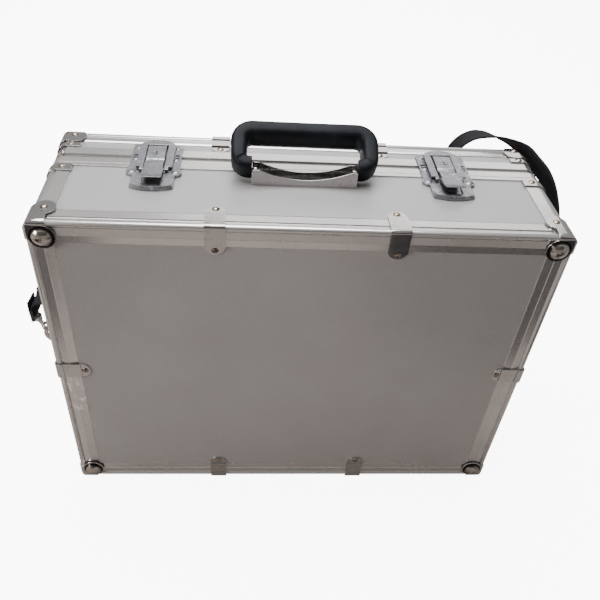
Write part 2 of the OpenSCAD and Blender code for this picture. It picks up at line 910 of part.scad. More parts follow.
module base_foam() {
    color(C_FOAM) in_case() difference() {
        translate([foam_gap - case_w / 2, foam_in, foam_in])
            cube([case_w - 2 * foam_gap, foam_face - foam_in, case_h - 2 * foam_in]);
        for (p = pockets)
            along_y(foam_face - p[4], foam_face + 1) translate([p[0], p[1]])
                rounded(p[2], p[3], 12);
    }
}

module lid_foam() {
    color(C_FOAM) in_case() translate([foam_gap - case_w / 2, 106, foam_in])
        cube([case_w - 2 * foam_gap, case_d - foam_in - 106, case_h - 2 * foam_in]);
}

// ---- strap fittings -----------------------------------------------------------------------------
module strap_anchors() {
    wall_x = case_w / 2 - panel_level;
    color(C_STEEL) in_case() both_sides() difference() {
        union() {
            translate([wall_x, anchor_y - 9, anchor_z - 21]) cube([1.5, 18, 42]);
            translate([wall_x + 1, anchor_y - 2.4, anchor_z - 7])
                cube([ring_out - wall_x - 1, 4.8, 14]);
            translate([ring_out, anchor_y, anchor_z - 7]) cylinder(r = 3.2, h = 14);
        }
        translate([ring_out, anchor_y, anchor_z - 8]) cylinder(r = wire_r + run_gap, h = 16);
    }
}

// Each ring is drawn about its upright bar, standing straight out from the right wall
module at_ring(s) {
    in_case() flip_x(s < 0) translate([ring_out, anchor_y, anchor_z])
        rotate([0, 0, ring_swing[s < 0 ? 0 : 1]]) children();
}

// D-ring with an upright bar
module strap_ring(s) {
    leg = ring_leg;
    color(C_STEEL) at_ring(s) {
        along_y(-1.6, 1.6) difference() {
            union() {
                translate([-wire_r, -ring_r - wire_r]) square([leg + wire_r, 2 * (ring_r + wire_r)]);
                translate([leg, 0]) circle(ring_r + wire_r);
            }
            translate([-5, wire_r - ring_r]) square([leg + 5, 2 * (ring_r - wire_r)]);
            translate([leg, 0]) circle(ring_r - wire_r);
        }
        translate([0, 0, -ring_r]) cylinder(r = wire_r, h = 2 * ring_r);
    }
}

// Swivel clip: an eye round the ring's wire, a neck, a collar and a loop for the webbing
module strap_clip(s) {
    wire = [ring_leg + ring_r * cos(45), ring_r * sin(45)];
    collar_x = 24;
    color(C_BLACK) at_ring(s) {
        translate([wire[0] + 0.65, 0, wire[1] + 0.65]) rotate([0, -45, 0]) difference() {
            cylinder(r = 5.4, h = 3, center = true);
            cylinder(r = 3.3, h = 4, center = true);
        }
        along_y(-1.5, 1.5) polygon([[19, 11.5], [21.4, 9.6], [collar_x + 2, 19], [collar_x - 2, 19]]);
        translate([collar_x, 0, 18]) cylinder(r = 4.2, h = 5);
        along_x(collar_x - 1.5, collar_x + 1.5) difference() {
            union() {
                translate([-3, 22]) square([6, 6]);
                translate([-13.5, 26]) square([27, 11.5]);
            }
            translate([-11.5, 29.5]) square([23, 4.5]);
        }
    }
}

// ---- strap --------------------------------------------------------------------------------------
// The webbing's route: [point, direction across the webbing]. It rises from the right clip,
// loops over the rear corner, falls behind the case, lies along the floor and climbs to the
// left clip
route = [
    [[247.7, -6.2, 206.2], [-0.574, 0.819, 0]],
    [[247.4, -5.6, 222], [-0.5, 0.85, 0]],
    [[247, -2, 250], [-0.2, 1, -0.1]],
    [[246.5, 4, 278], [0, 1, -0.3]],
    [[245, 13, 300], [0, 0.9, -0.5]],
    [[242, 27, 316.5], [0, 0.7, -0.7]],
    [[238.2, 43.5, 325.5], [0, 0.5, -0.8]],
    [[232.5, 60.5, 330], [0, 0.55, -0.85]],
    [[226.5, 78.5, 333], [0, 0.6, -0.8]],
    [[216, 88.5, 337], [0.1, 0.75, -0.6]],
    [[203, 93, 340.5], [0.1, 0.9, -0.45]],
    [[189, 95.5, 342], [0, 1, -0.2]],
    [[176.5, 98, 339.5], [0, 1, -0.08]],
    [[166, 100, 331], [0, 1, 0]],
    [[159.5, 103, 317], [0, 1, 0.1]],
    [[158.5, 108, 296], [0, 1, 0.15]],
    [[166, 114, 266], [0.2, 0.9, 0.2]],
    [[186, 119, 230], [0.4, 0.85, 0.3]],
    [[211, 118, 187], [0.4, 0.85, 0.2]],
    [[231, 110, 136], [0.2, 1, 0]],
    [[240, 103, 82], [0.1, 1, 0]],
    [[240, 101, 38], [0.2, 1, 0]],
    [[229, 106, 12], [0.3, 1, 0]],
    [[207, 116, 2], [0.4, 1, 0]],
    [[170, 129, 1.4], [0.3, 1, 0]],
    [[100, 141, 1.4], [0.1, 1, 0]],
    [[0, 146, 1.4], [0, 1, 0]],
    [[-100, 139, 1.4], [-0.1, 1, 0]],
    [[-170, 126, 1.4], [-0.3, 1, 0]],
    [[-207, 112, 2], [-0.4, 1, 0]],
    [[-231, 101, 11], [-0.3, 1, 0]],
    [[-240, 92.5, 30], [0, 1, 0]],
    [[-240, 82.25, 70], [0, 1, 0]],
    [[-240, 72, 110], [0, 1, 0]],
    [[-239, 60, 146], [0, 1, 0.3]],
    [[-238, 45, 176], [0, 1, 0.5]],
    [[-237, 25, 199], [0, 1, 0.7]],
    [[-236, 5, 211], [0, 1, 0.8]],
    [[-238.5, -11, 213.5], [0, 1, 0.6]],
    [[-244.5, -18, 213.2], [0, 1, 0.25]],
    [[-249.8, -20, 211.2], [0, 1, 0]],
    [[-251.5, -20, 206.6], [0, 1, 0]]
];
steps = 2;

function unit(v) = v / norm(v);
// Smooth curve through the points of a route, at place t between point i and the next
function spline(p0, p1, p2, p3, t) = 0.5 * (2 * p1 + (p2 - p0) * t
    + (2 * p0 - 5 * p1 + 4 * p2 - p3) * t * t + (3 * p1 - p0 - 3 * p2 + p3) * t * t * t);
function column(route, k) = [for (r = route) r[k]];
function smooth(p) = let (n = len(p) - 1) concat(
    [for (i = [0:n - 1], k = [0:steps - 1])
        spline(p[max(i - 1, 0)], p[i], p[i + 1], p[min(i + 2, n)], k / steps)], [p[n]]);
// Flat outline of the webbing: across and through, eight points
function web_outline() = let (a = strap_w / 2, b = strap_t / 2, c = strap_t / 4) [
    [-a, -b + c], [-a + c, -b], [a - c, -b], [a, -b + c],
    [a, b - c], [a - c, b], [-a + c, b], [-a, b - c]];

module webbing(route) {
    path = smooth(column(route, 0));
    across = smooth(column(route, 1));
    n = len(path) - 1;
    outline = web_outline();
    m = len(outline);
    rings = [for (i = [0:n]) let (
        t = unit(path[min(i + 1, n)] - path[max(i - 1, 0)]),
        w = unit(across[i] - t * (across[i] * t)),
        u = cross(t, w)) for (q = outline) path[i] + w * q[0] + u * q[1]];
    color(C_BLACK) polyhedron(rings, concat(
        [[for (k = [0:m - 1]) k]],
        [for (i = [0:n - 1], k = [0:m - 1]) let (j = (k + 1) % m)
            [i * m + k, (i + 1) * m + k, (i + 1) * m + j, i * m + j]],
        [[for (k = [m - 1:-1:0]) n * m + k]]));
}

// Slider that sets the strap's length, with the webbing passing through it
slider_at = [-240, 82.25, 70];
slider_tilt = [14.37, 0, 0];

module strap_slider() {
    color(C_BLACK) translate(slider_at) rotate(slider_tilt) along_z(-5, 5) difference() {
        square([6, strap_w + 5], center = true);
        square([2.6, strap_w + 0.6], center = true);
    }
}

base_front_panel();
base_side_panel(2);  // base_top_panel
base_side_panel(0);  // base_bottom_panel
base_side_panel(1);  // base_left_panel
base_side_panel(3);  // base_right_panel
base_profile(2);  // base_profile_top
base_profile(0);  // base_profile_bottom
base_profile(1);  // base_profile_left
base_profile(3);  // base_profile_right
base_corner_posts();
base_mating_frame();
base_corner_caps();
base_mating_brackets();
base_edge_clamps();
base_rivets();
base_floor_rivets();
dome_feet();
handle_bracket();
handle_pins();
handle_grip();
latch_plate(-1);  // latch_left_plate
latch_plate(1);  // latch_right_plate
latch_lever(-1);  // latch_left_lever
latch_lever(1);  // latch_right_lever
latch_bail(-1);  // latch_left_bail
latch_bail(1);  // latch_right_bail
lock_plug(-1);  // lock_plug_left
lock_plug(1);  // lock_plug_right
latch_catch(-1);  // latch_left_catch
latch_catch(1);  // latch_right_catch
hinge_base_leaves();
hinge_lid_leaves();
hinge_pins();
lid_stays();
stay_guides();
base_foam();
lid_foam();
lid_back_panel();
lid_side_panel(2);  // lid_top_panel
lid_side_panel(0);  // lid_bottom_panel
lid_side_panel(1);  // lid_left_panel
lid_side_panel(3);  // lid_right_panel
lid_profile(2);  // lid_profile_top
lid_profile(0);  // lid_profile_bottom
lid_profile(1);  // lid_profile_left
lid_profile(3);  // lid_profile_right
lid_corner_posts();
lid_mating_frame();
lid_corner_caps();
lid_mating_brackets();
lid_edge_clamps();
lid_rivets();
lid_floor_rivets();
strap_anchors();
strap_ring(-1);  // ring_left
strap_ring(1);  // ring_right
strap_clip(-1);  // clip_left
strap_clip(1);  // clip_right
webbing(route);  // strap_webbing
strap_slider();
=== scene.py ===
"""Drone carrying case: looks, strap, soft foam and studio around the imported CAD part."""
import math

import bpy
import numpy as np
from mathutils import Matrix, Vector, noise


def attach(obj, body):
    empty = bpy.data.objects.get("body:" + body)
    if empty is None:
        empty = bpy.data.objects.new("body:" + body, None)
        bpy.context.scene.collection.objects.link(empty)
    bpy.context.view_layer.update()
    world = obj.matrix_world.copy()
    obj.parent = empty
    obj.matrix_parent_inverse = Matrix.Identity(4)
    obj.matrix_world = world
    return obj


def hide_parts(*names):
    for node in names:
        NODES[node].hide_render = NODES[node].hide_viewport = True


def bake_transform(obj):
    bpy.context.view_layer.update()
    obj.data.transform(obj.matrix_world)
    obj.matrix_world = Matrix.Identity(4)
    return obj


MM = 0.001

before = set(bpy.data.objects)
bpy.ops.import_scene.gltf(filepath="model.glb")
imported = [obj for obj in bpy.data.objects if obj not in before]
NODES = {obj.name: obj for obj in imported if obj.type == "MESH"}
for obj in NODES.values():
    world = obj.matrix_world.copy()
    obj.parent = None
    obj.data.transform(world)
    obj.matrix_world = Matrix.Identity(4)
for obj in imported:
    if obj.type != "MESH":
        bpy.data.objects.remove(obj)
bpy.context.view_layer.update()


# ---- camera ---------------------------------------------------------------------------
EYE = Vector((-0.0519, -0.5193, 0.6386))
FORWARD = Vector((0.07846, 0.74496, -0.66248)).normalized()
RIGHT = Vector((0.99675, -0.04636, 0.06592))
FOCAL = 40.13
SHIFT = (0.0075, 0.028)


def add_camera():
    """The photograph's own viewpoint, with a slight roll."""
    right = (RIGHT - FORWARD * RIGHT.dot(FORWARD)).normalized()
    up = right.cross(FORWARD)
    turn = Matrix((right, up, -FORWARD)).transposed().to_4x4()
    data = bpy.data.cameras.new("camera")
    data.lens = FOCAL
    data.sensor_width = 36
    data.shift_x, data.shift_y = SHIFT
    data.clip_start = 0.01
    camera = bpy.data.objects.new("camera", data)
    camera.matrix_world = Matrix.Translation(EYE) @ turn
    bpy.context.scene.collection.objects.link(camera)
    bpy.context.scene.camera = camera


add_camera()


# ---- mesh helpers ---------------------------------------------------------------------
def new_object(name, verts, faces, smooth=True):
    mesh = bpy.data.meshes.new(name)
    mesh.from_pydata([tuple(v) for v in verts], [], faces)
    mesh.validate()
    mesh.update()
    if smooth:
        mesh.polygons.foreach_set("use_smooth", [True] * len(mesh.polygons))
    obj = bpy.data.objects.new(name, mesh)
    bpy.context.scene.collection.objects.link(obj)
    return obj


def loft(name, rings, smooth=True):
    """Closed skin over rings of equally many points, capped at both ends."""
    m = len(rings[0])
    verts = [p for ring in rings for p in ring]
    faces = []
    for i in range(len(rings) - 1):
        for k in range(m):
            j = (k + 1) % m
            faces.append((i * m + k, i * m + j, (i + 1) * m + j, (i + 1) * m + k))
    faces.append(tuple(range(m - 1, -1, -1)))
    faces.append(tuple((len(rings) - 1) * m + k for k in range(m)))
    return new_object(name, verts, faces, smooth)


def spline(points, steps):
    """Smooth curve through points, as the webbing's route in the CAD part."""
    p = [Vector(q) for q in points]
    n = len(p) - 1
    out = []
    for i in range(n):
        a, b, c, d = p[max(i - 1, 0)], p[i], p[i + 1], p[min(i + 2, n)]
        for k in range(steps):
            t = k / steps
            out.append(0.5 * (2 * b + (c - a) * t + (2 * a - 5 * b + 4 * c - d) * t * t
                              + (3 * b - a - 3 * c + d) * t ** 3))
    out.append(p[-1])
    return out


# ---- strap ----------------------------------------------------------------------------
# [point in mm, direction across the webbing], from the right clip round to the left one
ROUTE = [
    [(247.7, -6.2, 206.2), (-0.574, 0.819, 0)],
    [(247.4, -5.6, 222), (-0.5, 0.85, 0)],
    [(247, -2, 250), (-0.2, 1, -0.1)],
    [(246.5, 4, 278), (0, 1, -0.3)],
    [(245, 13, 300), (0, 0.9, -0.5)],
    [(242, 27, 316.5), (0, 0.7, -0.7)],
    [(238.2, 43.5, 325.5), (0, 0.5, -0.8)],
    [(232.5, 60.5, 330), (0, 0.55, -0.85)],
    [(226.5, 78.5, 333), (0, 0.6, -0.8)],
    [(216, 88.5, 337), (0.1, 0.75, -0.6)],
    [(203, 93, 340.5), (0.1, 0.9, -0.45)],
    [(189, 95.5, 342), (0, 1, -0.2)],
    [(176.5, 98, 339.5), (0, 1, -0.08)],
    [(166, 100, 331), (0, 1, 0)],
    [(159.5, 103, 317), (0, 1, 0.1)],
    [(158.5, 108, 296), (0, 1, 0.15)],
    [(166, 114, 266), (0.2, 0.9, 0.2)],
    [(186, 119, 230), (0.4, 0.85, 0.3)],
    [(211, 118, 187), (0.4, 0.85, 0.2)],
    [(231, 110, 136), (0.2, 1, 0)],
    [(240, 103, 82), (0.1, 1, 0)],
    [(240, 101, 38), (0.2, 1, 0)],
    [(229, 106, 12), (0.3, 1, 0)],
    [(207, 116, 2), (0.4, 1, 0)],
    [(170, 129, 1.4), (0.3, 1, 0)],
    [(100, 141, 1.4), (0.1, 1, 0)],
    [(0, 146, 1.4), (0, 1, 0)],
    [(-100, 139, 1.4), (-0.1, 1, 0)],
    [(-170, 126, 1.4), (-0.3, 1, 0)],
    [(-207, 112, 2), (-0.4, 1, 0)],
    [(-231, 101, 11), (-0.3, 1, 0)],
    [(-240, 92.5, 30), (0, 1, 0)],
    [(-240, 82.25, 70), (0, 1, 0)],
    [(-240, 72, 110), (0, 1, 0)],
    [(-239, 60, 146), (0, 1, 0.3)],
    [(-238, 45, 176), (0, 1, 0.5)],
    [(-237, 25, 199), (0, 1, 0.7)],
    [(-236, 5, 211), (0, 1, 0.8)],
    [(-238.5, -11, 213.5), (0, 1, 0.6)],
    [(-244.5, -18, 213.2), (0, 1, 0.25)],
    [(-249.8, -20, 211.2), (0, 1, 0)],
    [(-251.5, -20, 206.6), (0, 1, 0)],
]
WEB_W = 22
WEB_T = 2


def web_section():
    """Flat outline of the webbing with rounded selvedges and two shallow ribs."""
    a, b = WEB_W / 2, WEB_T / 2
    top = [(-a, 0.3 * b), (-a + 0.6, b), (-a + 3, b), (-a + 3.5, 0.8 * b), (0, 0.85 * b),
           (a - 3.5, 0.8 * b), (a - 3, b), (a - 0.6, b), (a, 0.3 * b)]
    return top[::-1] + [(x, -y) for x, y in top]


def webbing(name, points, across, section):
    """Band along a line, turned so that its width follows the direction across it."""
    n = len(points) - 1
    rings = []
    lengths = [0.0]
    for i in range(n + 1):
        t = (points[min(i + 1, n)] - points[max(i - 1, 0)]).normalized()
        w = (across[i] - t * across[i].dot(t)).normalized()
        u = t.cross(w)
        rings.append([(points[i] + w * x + u * y) * MM for x, y in section])
        if i:
            lengths.append(lengths[-1] + (points[i] - points[i - 1]).length * MM)
    obj = loft(name, rings)
    m = len(section)
    uv = obj.data.uv_layers.new(name="weave")
    along = [lengths[v // m] for v in range(len(obj.data.vertices))]
    side = [section[v % m][0] * MM for v in range(len(obj.data.vertices))]
    for loop in obj.data.loops:
        uv.data[loop.index].uv = (along[loop.vertex_index], side[loop.vertex_index])
    return obj, lengths[-1]


strap_line = spline([r[0] for r in ROUTE], 6)
strap_across = spline([r[1] for r in ROUTE], 6)
strap, strap_length = webbing("strap", strap_line, strap_across, web_section())
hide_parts("strap_webbing")
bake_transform(strap)


# ---- materials ------------------------------------------------------------------------
class Shader:
    """Small builder over a Principled material's nodes. Coordinates are the part's own, in m."""

    def __init__(self, name, color, rough, metal=0.0, **extra):
        self.material = bpy.data.materials.new(name)
        self.material.use_nodes = True
        self.tree = self.material.node_tree
        self.bsdf = self.tree.nodes["Principled BSDF"]
        self.color = color
        self.rough = rough
        self.set("Base Color", (*color, 1))
        self.set("Roughness", rough)
        self.set("Metallic", metal)
        for key, value in extra.items():
            self.set(key.replace("_", " "), value)
        self.coords = self.node("ShaderNodeTexCoord").outputs["Object"]
        self.height = None

    def set(self, socket, value):
        self.bsdf.inputs[socket].default_value = value

    def node(self, kind, **inputs):
        n = self.tree.nodes.new(kind)
        for key, value in inputs.items():
            socket = n.inputs[key.replace("_", " ")]
            if isinstance(value, bpy.types.NodeSocket):
                self.tree.links.new(value, socket)
            else:
                socket.default_value = value
        return n

    def link(self, source, socket):
        self.tree.links.new(source, self.bsdf.inputs[socket])

    def math(self, operation, a, b=0.0, clamp=False):
        n = self.tree.nodes.new("ShaderNodeMath")
        n.operation = operation
        n.use_clamp = clamp
        for socket, value in zip(n.inputs, (a, b)):
            if isinstance(value, bpy.types.NodeSocket):
                self.tree.links.new(value, socket)
            else:
                socket.default_value = value
        return n.outputs[0]

    def noise(self, scale, stretch=(1, 1, 1), detail=3.0, rough=0.55):
        """Noise from 0 to 1 with features about 1 / scale metres across."""
        mapping = self.node("ShaderNodeMapping", Vector=self.coords, Scale=stretch)
        n = self.node("ShaderNodeTexNoise", Vector=mapping.outputs[0], Scale=scale,
                      Detail=detail, Roughness=rough)
        return n.outputs["Fac"]

    def spread(self, factor, low, high, to_low=0.0, to_high=1.0):
        n = self.node("ShaderNodeMapRange", Value=factor)
        for k, value in enumerate((low, high, to_low, to_high)):
            n.inputs[k + 1].default_value = value
        return n.outputs[0]

    def mix(self, factor, a, b):
        n = self.tree.nodes.new("ShaderNodeMix")
        n.data_type = "RGBA"
        for key, value in (("Factor_Float", factor), ("A_Color", a), ("B_Color", b)):
            socket = next(s for s in n.inputs if s.identifier == key)
            if isinstance(value, bpy.types.NodeSocket):
                self.tree.links.new(value, socket)
            else:
                socket.default_value = value if key == "Factor_Float" else (*value, 1)
        return next(s for s in n.outputs if s.identifier == "Result_Color")

    def tint(self, factor, other):
        """Colour runs from the base colour to another one."""
        current = self.bsdf.inputs["Base Color"]
        source = current.links[0].from_socket if current.links else self.color
        self.link(self.mix(factor, source, other), "Base Color")

    def roughen(self, factor, amount):
        change = self.math("MULTIPLY", self.math("SUBTRACT", factor, 0.5), 2 * amount)
        self.link(self.math("ADD", change, self.rough, clamp=True), "Roughness")

    def bump(self, factor, depth):
        """Raises the surface by up to depth metres where factor is 1."""
        n = self.node("ShaderNodeBump", Height=factor, Distance=depth, Strength=1.0)
        if self.height:
            self.tree.links.new(self.height, n.inputs["Normal"])
        self.height = n.outputs[0]
        self.link(self.height, "Normal")

    def ring(self, x, z, from_z, inner, outer):
        """1 beyond the outer radius and 0 inside the inner one, about the four corner feet."""
        across = self.math("SUBTRACT", self.math("ABSOLUTE", self.axis("X")), x)
        up = self.math("SUBTRACT", self.math("ABSOLUTE",
                                             self.math("SUBTRACT", self.axis("Z"), from_z)), z)
        square = self.math("ADD", self.math("MULTIPLY", across, across),
                           self.math("MULTIPLY", up, up))
        return self.spread(self.math("SQRT", square), inner, outer)

    def on_front(self):
        """1 on the case's big front face, 0 elsewhere."""
        return self.spread(self.axis("Y"), *FRONT_FACE_Y, 1.0, 0.0)

    def axis(self, name):
        return self.node("ShaderNodeSeparateXYZ", Vector=self.coords).outputs[name]


# the feet's distance from the middle in X and Z, the middle's height, and the colour of the
# painted shade round them
FEET = (0.2113, 0.1533, 0.1697)
FOOT_RIM_SHADE = (0.02, 0.018, 0.016)
# radii over which the painted shade comes in round a foot's seat, and out to its dome's edge
SEAT_SHADE_RADII = (0.0097, 0.0103)
DOME_EDGE = (0.0072, 0.0082)
# where the big front face begins, and where the scuffs on the left profile fade in and out
FRONT_FACE_Y = (-0.0744, -0.0734)
SCUFFS_FROM_Z = (0.105, 0.12)
SCUFFS_TO_Z = (0.162, 0.15)
# height at which a clip's metal collar meets its plastic loop
CLIP_COLLAR_Z = (0.1912, 0.1914)
SATIN_ALUMINIUM = (0.60, 0.58, 0.565)


def darker(color, k):
    return tuple(c * k for c in color)


def aluminium(name, stretch):
    """Satin extrusion: fine drawn lines along its length, handled patches and small dents."""
    s = Shader(name, SATIN_ALUMINIUM, 0.27, 0.92)
    lines = s.noise(900, stretch, detail=2)
    patches = s.noise(14, detail=4)
    s.tint(s.spread(patches, 0.35, 0.7), darker(SATIN_ALUMINIUM, 0.88))
    s.roughen(patches, 0.07)
    s.bump(lines, 0.00002)
    s.bump(s.noise(160, detail=2), 0.00003)
    return s.material


def scuffed(name, stretch):
    """The left profiles: the same metal with pale scuffs below the side clamp."""
    s = Shader(name, SATIN_ALUMINIUM, 0.27, 0.92)
    patches = s.noise(14, detail=4)
    z = s.axis("Z")
    band = s.math("MULTIPLY", s.spread(z, *SCUFFS_FROM_Z), s.spread(z, *SCUFFS_TO_Z))
    scratches = s.spread(s.noise(260, (1, 1, 0.35), detail=5), 0.55, 0.6)
    marks = s.math("MULTIPLY", band, scratches)
    s.tint(s.spread(patches, 0.35, 0.7), darker(SATIN_ALUMINIUM, 0.88))
    s.tint(marks, (0.9, 0.88, 0.85))
    s.roughen(patches, 0.07)
    s.bump(s.noise(900, stretch, detail=2), 0.00002)
    s.bump(marks, 0.00004)
    return s.material


def laminate():
    """Silver-grey pebbled laminate with faint cloudy stains."""
    base = (0.35, 0.335, 0.335)
    s = Shader("laminate", base, 0.42, 0.35)
    pebble = s.noise(1500, detail=2)
    clouds = s.noise(9, detail=5)
    s.tint(s.spread(clouds, 0.35, 0.75, 0, 0.7), (0.30, 0.285, 0.27))
    s.tint(s.spread(pebble, 0.45, 0.75, 0, 0.6), darker(base, 1.25))
    s.roughen(clouds, 0.08)
    s.bump(pebble, 0.00008)
    return s.material


def plated_steel(name="plated_steel", feet=False):
    """Bright nickel plate with fingermarks and light pitting, with painted shade round the
    feet's seats.
    """
    base = (0.46, 0.445, 0.435)
    s = Shader(name, base, 0.15, 1.0)
    marks = s.noise(70, detail=6)
    s.tint(s.spread(s.noise(300, detail=4), 0.6, 0.72), (0.34, 0.30, 0.26))
    s.roughen(marks, 0.12)
    s.bump(s.noise(120, detail=2), 0.00004)
    if feet:
        # painted shade: a dark ring on the front face round each foot's seat
        ring = s.ring(*FEET, *SEAT_SHADE_RADII)
        seat_shade = s.math("SUBTRACT", 1.0, ring)
        s.tint(s.math("MULTIPLY", seat_shade, s.on_front()), FOOT_RIM_SHADE)
    return s.material


def domed_steel():
    base = (0.42, 0.385, 0.35)
    s = Shader("domed_steel", base, 0.18, 1.0)
    s.tint(s.spread(s.noise(240, detail=5), 0.5, 0.66), (0.16, 0.135, 0.115))
    # painted shade: each dome darkens to a black ring towards its rim
    s.tint(s.ring(*FEET, *DOME_EDGE), FOOT_RIM_SHADE)
    s.roughen(s.noise(90, detail=5), 0.12)
    return s.material


def brass_plate():
    """Rivet heads: dull brass-toned plate, darker in places."""
    base = (0.40, 0.335, 0.275)
    s = Shader("brass_plate", base, 0.26, 1.0)
    s.tint(s.spread(s.noise(420, detail=4), 0.4, 0.62), (0.10, 0.072, 0.055))
    s.roughen(s.noise(200, detail=4), 0.15)
    return s.material


def zinc_casting():
    """Old zinc casting: bright on its high spots, pitted and grey elsewhere."""
    base = (0.25, 0.25, 0.265)
    s = Shader("zinc_casting", base, 0.34, 0.95)
    pits = s.spread(s.noise(900, detail=5, rough=0.65), 0.52, 0.66)
    s.tint(pits, (0.06, 0.058, 0.056))
    s.tint(s.spread(s.noise(180, detail=3), 0.55, 0.72, 0, 0.7), (0.50, 0.50, 0.53))
    s.roughen(s.noise(260, detail=5), 0.2)
    s.bump(s.math("SUBTRACT", 1.0, pits), 0.00008)
    return s.material


def moulded_plastic():
    """Black grip: fine grain and a low sheen."""
    base = (0.006, 0.007, 0.009)
    s = Shader("moulded_plastic", base, 0.36, Specular_IOR_Level=0.07)
    grain = s.noise(1300, detail=3)
    s.tint(s.spread(s.noise(35, detail=4), 0.45, 0.7), (0.012, 0.013, 0.016))
    s.roughen(s.noise(60, detail=4), 0.07)
    s.bump(grain, 0.00004)
    return s.material


def black_plastic():
    s = Shader("black_plastic", (0.015, 0.015, 0.017), 0.3)
    s.roughen(s.noise(150, detail=3), 0.08)
    s.bump(s.noise(600, detail=2), 0.00003)
    return s.material


def clip_metal_and_plastic():
    """Swivel clips: plated hook and collar below, black loop above."""
    s = Shader("clip", (0.015, 0.015, 0.017), 0.22)
    metal = s.spread(s.axis("Z"), *CLIP_COLLAR_Z, 1.0, 0.0)
    s.tint(metal, (0.55, 0.54, 0.53))
    s.link(metal, "Metallic")
    s.roughen(s.noise(200, detail=3), 0.08)
    return s.material


def woven():
    """Black webbing: ribs across, a fine weave along."""
    s = Shader("woven", (0.008, 0.008, 0.009), 0.8, Specular_IOR_Level=0.15)
    uv = s.node("ShaderNodeUVMap")
    uv.uv_map = "weave"
    parts = s.node("ShaderNodeSeparateXYZ", Vector=uv.outputs[0])
    along = s.math("SINE", s.math("MULTIPLY", parts.outputs["X"], 2 * math.pi / 0.0016))
    side = s.math("SINE", s.math("MULTIPLY", parts.outputs["Y"], 2 * math.pi / 0.0012))
    weave = s.math("MULTIPLY", along, side)
    s.tint(s.spread(weave, -0.2, 1.0), (0.02, 0.02, 0.023))
    s.tint(s.spread(s.noise(40, detail=4), 0.5, 0.75, 0, 0.6), (0.018, 0.018, 0.02))
    s.roughen(s.noise(60), 0.08)
    s.bump(weave, 0.00015)
    return s.material


def foam_material():
    """Charcoal open-cell foam."""
    s = Shader("foam", (0.028, 0.028, 0.030), 0.95)
    cells = s.noise(1100, detail=3, rough=0.7)
    s.tint(s.spread(cells, 0.4, 0.7), (0.06, 0.06, 0.062))
    s.roughen(s.noise(30), 0.03)
    s.bump(cells, 0.0004)
    return s.material


def plated_strip():
    """Zinc-plated strip: hinges and stays."""
    base = (0.55, 0.55, 0.54)
    s = Shader("plated_strip", base, 0.26, 1.0)
    s.tint(s.spread(s.noise(120, detail=4), 0.5, 0.75), (0.40, 0.39, 0.36))
    s.roughen(s.noise(160, detail=4), 0.1)
    return s.material


MAT = {
    "alu_x": aluminium("alu_x", (0.02, 1, 1)),
    "alu_y": aluminium("alu_y", (1, 0.02, 1)),
    "alu_z": aluminium("alu_z", (1, 1, 0.02)),
    "alu_left": scuffed("alu_left", (1, 1, 0.02)),
    "laminate": laminate(),
    "steel": plated_steel(),
    "cap": plated_steel("plated_caps", feet=True),
    "dome": domed_steel(),
    "strip": plated_strip(),
    "rivet": brass_plate(),
    "zinc": zinc_casting(),
    "grip": moulded_plastic(),
    "plastic": black_plastic(),
    "clip": clip_metal_and_plastic(),
    "webbing": woven(),
    "foam": foam_material(),
}


WELD_WITHIN = 0.00001
EDGE_ANGLE = math.radians(38)


def wear(obj, key):
    obj.data.materials.clear()
    obj.data.materials.append(MAT[key])


def finish_for(node):
    """Which material and edge rounding, in mm, a CAD node gets."""
    rules = [
        ("profile_left", "alu_z", 0.25), ("profile_right", "alu_z", 0.25),
        ("profile", "alu_x", 0.25), ("corner_posts", "alu_y", 0.25),
        ("mating_frame", "alu_x", 0.2), ("panel", "laminate", 0.2),
        ("dome", "dome", 0), ("rivets", "rivet", 0),
        ("base_corner_caps", "cap", 0.35), ("corner_caps", "steel", 0.35),
        ("brackets", "steel", 0.3), ("clamps", "steel", 0.3),
        ("handle_bracket", "steel", 0.35), ("handle_pins", "steel", 0.3),
        ("hinge", "strip", 0.2), ("stay", "strip", 0.25), ("anchors", "steel", 0.4),
        ("ring_", "steel", 0.9), ("clip", "clip", 0.5), ("grip", "grip", 1),
        ("latch", "zinc", 0.35), ("lock", "zinc", 0.2), ("foam", "foam", 0.8),
        ("slider", "plastic", 0.5), ("strap", "webbing", 0.2),
    ]
    if node == "base_profile_left":
        return "alu_left", 0.25
    return next((mat, edge) for key, mat, edge in rules if key in node)


def dress_cad():
    """Materials for the CAD nodes, and a small rounding on their edges."""
    for name, obj in NODES.items():
        mat, edge = finish_for(name)
        wear(obj, mat)
        if edge:
            weld = obj.modifiers.new("weld", "WELD")
            weld.merge_threshold = WELD_WITHIN
            bevel = obj.modifiers.new("bevel", "BEVEL")
            bevel.width = edge * MM
            bevel.segments = 3
            bevel.limit_method = "ANGLE"
            bevel.angle_limit = EDGE_ANGLE
            bevel.harden_normals = True


dress_cad()
wear(strap, "webbing")


# ---- strap ends -----------------------------------------------------------------------
# the rings' upright axes, in mm, and how far round the right one has swung, in degrees
RING_X = 228
RING_Y = -20
RING_SWING = 35


